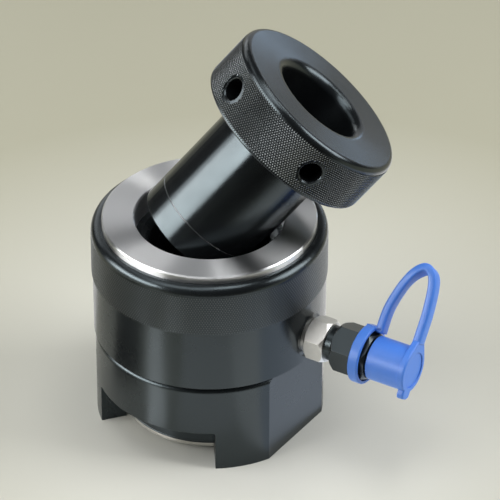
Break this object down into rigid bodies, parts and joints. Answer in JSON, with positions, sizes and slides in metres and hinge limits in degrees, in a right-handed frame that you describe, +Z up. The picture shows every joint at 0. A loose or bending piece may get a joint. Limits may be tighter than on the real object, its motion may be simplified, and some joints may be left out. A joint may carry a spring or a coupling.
{
  "type": "hydraulic bolt tensioner",
  "caption": "Hollow-piston hydraulic cylinder on a footed bridge, with a knurled puller leaning in its bore, a nut-turning socket and a capped quick coupling.",
  "frame": {"origin": "on the tool axis, in the plane of the bridge feet", "axes": "+Z up the tool axis, +X along the quick coupling"},
  "size_m": [0.2085, 0.1592, 0.2484],
  "materials": {
    "black_oxide": "black oxide, satin, lightly oiled",
    "dark_steel": "dark phosphate, satin",
    "turned_steel": "bare, fine turned",
    "plated_steel": "bright zinc plate",
    "spring_steel": "drawn wire",
    "turned_brass": "turned",
    "blue_plastic": "moulded, soft sheen",
    "black_rubber": "moulded",
    "blue_seal": "moulded polyurethane",
    "white_backup": "machined",
    "brown_guide": "machined"
  },
  "bodies": {
    "bridge": {"bridge": "black_oxide", "swivel_ring": "spring_steel", "socket_ring": "spring_steel"},
    "load_cell": {"load_cell_body": "black_oxide", "stroke_ring": "spring_steel", "wiper_ring": "black_rubber", "port_washer": "plated_steel", "hex_adapter": "plated_steel", "coupling_body": "dark_steel", "adapter_seal": "black_rubber", "poppet_guide": "turned_brass", "poppet_seal": "white_backup", "poppet_spring": "spring_steel", "strap_ring": "blue_plastic", "cap_strap": "blue_plastic"},
    "piston": {"piston": "turned_steel", "outer_seal": "blue_seal", "outer_backup_ring": "white_backup", "inner_seal": "blue_seal", "inner_backup_ring": "white_backup", "guide_ring": "brown_guide"},
    "puller": {"puller": "black_oxide"},
    "nut_socket": {"nut_socket": "black_oxide"},
    "poppet": {"poppet": "plated_steel"},
    "dust_cap": {"dust_cap": "blue_plastic"}
  },
  "joints": [
    {"name": "load_cell_swivel", "type": "hinge", "parent": "bridge", "child": "load_cell", "pos_m": [0, 0, 0.0582], "axis": [0, 0, 1], "continuous": true},
    {"name": "socket_turn", "type": "hinge", "parent": "bridge", "child": "nut_socket", "pos_m": [0, 0, 0.0033], "axis": [0, 0, 1], "continuous": true},
    {"name": "piston_stroke", "type": "slide", "parent": "load_cell", "child": "piston", "axis": [0, 0, 1], "range_m": [0, 0.012]},
    {"name": "puller_tilt", "type": "hinge", "parent": "piston", "child": "puller", "pos_m": [-0.00656, -0.00473, 0.13961], "axis": [0.585, -0.8111, 0], "range_deg": [0, 40.4]},
    {"name": "cap_slide", "type": "slide", "parent": "load_cell", "child": "dust_cap", "axis": [1, 0, 0], "range_m": [0, 0.045], "deforming": ["cap_strap"]},
    {"name": "poppet_slide", "type": "slide", "parent": "load_cell", "child": "poppet", "axis": [-1, 0, 0], "range_m": [0, 0.003], "stiffness_N_per_m": 1200, "springref_m": -0.004, "deforming": ["poppet_spring"]}
  ]
}
